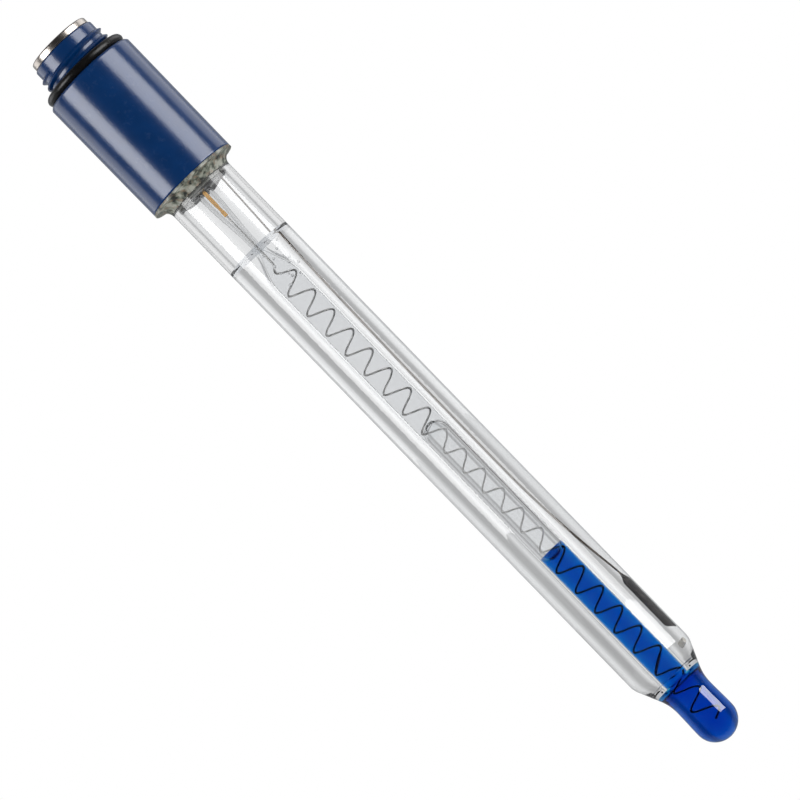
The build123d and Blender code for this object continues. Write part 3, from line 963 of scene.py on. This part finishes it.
class ELECTRODE_OT_stage(bpy.types.Operator):
    """Sets the floor, the surroundings, the lights and the camera"""

    bl_idname = "electrode.stage"
    bl_label = "Stage"

    def execute(self, context):
        s = context.scene.electrode_stage
        self.floor(s)
        self.surroundings(context.scene)
        for row in LAMPS:
            self.lamp(*row)
        self.camera(context.scene, s)
        context.scene.view_settings.view_transform = "Standard"
        context.scene.cycles.max_bounces = LIGHT_STEPS
        context.scene.cycles.transmission_bounces = LIGHT_STEPS
        context.scene.cycles.transparent_max_bounces = LIGHT_STEPS
        return {"FINISHED"}

    def floor(self, s):
        """A wide pale floor under the object, left out of reflections."""
        bpy.ops.object.select_all(action="DESELECT")
        bpy.ops.mesh.primitive_plane_add(size=8, location=(0, 0, s.floor))
        floor = bpy.context.object
        floor.name = "floor"
        f = finish("floor")
        grain = f.noise(40, detail=2.0)
        shade = f.mix(grain, grey(0.93), grey(0.9))
        f.surface(Base_Color=shade, Roughness=0.8, Emission_Color=shade, Emission_Strength=0.25)
        floor.data.materials.append(f.owner)
        floor.visible_glossy = False

    def surroundings(self, scene):
        """White to the camera, upright bands through the glass, and in gloss a tent that is dark in front."""
        scene.world = scene.world or bpy.data.worlds.new("World")
        f = Finish(scene.world)
        ray = f.node("ShaderNodeTexCoord", output="Generated")
        across = f.node("ShaderNodeSeparateXYZ", values={0: ray}, output="X")
        away = f.node("ShaderNodeSeparateXYZ", values={0: ray}, output="Y")
        levels = [(0.0, 0.95), (0.26, 0.93), (0.35, 0.5), (0.46, 0.5)]
        levels += [(0.58, 0.82), (0.8, 0.8), (0.93, 0.5), (1.0, 0.55)]
        bands = f.ramp(abs(across), *((place, grey(level)) for place, level in levels))
        tent = f.ramp(
            away * 0.5 + 0.5,
            (0.0, (0.01, 0.01, 0.012, 1)),
            (0.5, (0.015, 0.015, 0.018, 1)),
            (0.62, (0.3, 0.3, 0.32, 1)),
            (1.0, (0.36, 0.37, 0.38, 1)),
        )
        shade = f.mix(f.node("ShaderNodeLightPath", output="Is Glossy Ray"), (0.42, 0.43, 0.45, 1), tent)
        shade = f.mix(f.node("ShaderNodeLightPath", output="Is Transmission Ray"), shade, bands)
        shade = f.mix(f.node("ShaderNodeLightPath", output="Is Camera Ray"), shade, grey(1))
        light = f.node("ShaderNodeBackground", {}, {"Color": shade, "Strength": 1.0})
        f.node("ShaderNodeOutputWorld", {}, {"Surface": light})

    def lamp(self, name, azimuth, distance, size, height, radiance, shine):
        """One row of LAMPS: a soft box beside the object, turned to its axis."""
        a = radians(azimuth)
        place = Vector((sin(a) * distance, -cos(a) * distance, height * MM))
        bpy.ops.object.select_all(action="DESELECT")
        bpy.ops.object.light_add(type="AREA", location=place)
        lamp = bpy.context.object
        lamp.name = name
        lamp.rotation_euler = (Vector((0, 0, height * MM)) - place).to_track_quat("-Z", "Y").to_euler()
        lamp.data.shape = "RECTANGLE"
        lamp.data.size, lamp.data.size_y = size
        lamp.data.energy = radiance * pi * size[0] * size[1]
        lamp.visible_camera = False
        lamp.visible_transmission = not shine
        lamp.visible_diffuse = not shine
        lamp.visible_glossy = shine

    def camera(self, scene, s):
        """The camera, below the middle and rolled so that the shaft lies across the picture."""
        bpy.ops.object.select_all(action="DESELECT")
        bpy.ops.object.camera_add()
        camera = bpy.context.object
        ahead = Vector((0, cos(s.tilt), sin(s.tilt)))
        shaft_up = Vector((0, -sin(s.tilt), cos(s.tilt)))
        across = Vector((1, 0, 0))
        right = across * cos(s.roll) - shaft_up * sin(s.roll)
        up = across * sin(s.roll) + shaft_up * cos(s.roll)
        turn = Matrix((right, up, -ahead)).transposed().to_4x4()
        place = Vector((s.aim_x, 0, s.aim_z)) - ahead * s.distance
        camera.matrix_world = Matrix.Translation(place) @ turn
        camera.data.lens = s.lens
        camera.data.sensor_width = 36
        camera.data.clip_end = 20
        scene.camera = camera


class ELECTRODE_PT_panel(bpy.types.Panel):
    """Lists the sizes and colours, with a button for each operator"""

    bl_idname = "ELECTRODE_PT_panel"
    bl_label = "pH electrode"
    bl_space_type = "VIEW_3D"
    bl_region_type = "UI"
    bl_category = "Electrode"

    def draw(self, context):
        for group, operators in PANEL_ROWS:
            box = self.layout.box()
            settings = getattr(context.scene, group)
            for name in settings.bl_rna.properties.keys():
                if name not in {"rna_type", "name"}:
                    box.prop(settings, name)
            for operator in operators:
                box.operator(operator)


PANEL_ROWS = (
    ("electrode_glass", ("electrode.glass",)),
    ("electrode_filling", ("electrode.fillings",)),
    ("electrode_wires", ("electrode.measuring_wire", "electrode.reference")),
    ("electrode_head", ("electrode.head", "electrode.contacts", "electrode.cement")),
    ("electrode_stage", ("electrode.stage",)),
)
GROUPS = {
    "electrode_glass": GlassSettings,
    "electrode_filling": FillingSettings,
    "electrode_wires": WireSettings,
    "electrode_head": HeadSettings,
    "electrode_stage": StageSettings,
}
OPERATORS = (
    ELECTRODE_OT_glass,
    ELECTRODE_OT_fillings,
    ELECTRODE_OT_measuring_wire,
    ELECTRODE_OT_reference,
    ELECTRODE_OT_head,
    ELECTRODE_OT_contacts,
    ELECTRODE_OT_cement,
    ELECTRODE_OT_stage,
)


def register():
    """Registers the classes and gives the scene its groups of settings."""
    for cls in (*GROUPS.values(), *OPERATORS, ELECTRODE_PT_panel):
        bpy.utils.register_class(cls)
    for name, group in GROUPS.items():
        setattr(bpy.types.Scene, name, PointerProperty(type=group))


def unregister():
    """Takes back what register did."""
    for name in GROUPS:
        delattr(bpy.types.Scene, name)
    for cls in reversed((*GROUPS.values(), *OPERATORS, ELECTRODE_PT_panel)):
        bpy.utils.unregister_class(cls)


def main():
    """Makes the stage and every piece."""
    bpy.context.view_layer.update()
    register()
    bpy.ops.electrode.stage()
    bpy.ops.electrode.glass()
    bpy.ops.electrode.fillings()
    bpy.ops.electrode.measuring_wire()
    bpy.ops.electrode.reference()
    bpy.ops.electrode.head()
    bpy.ops.electrode.contacts()
    bpy.ops.electrode.cement()


if __name__ == "__main__":
    main()
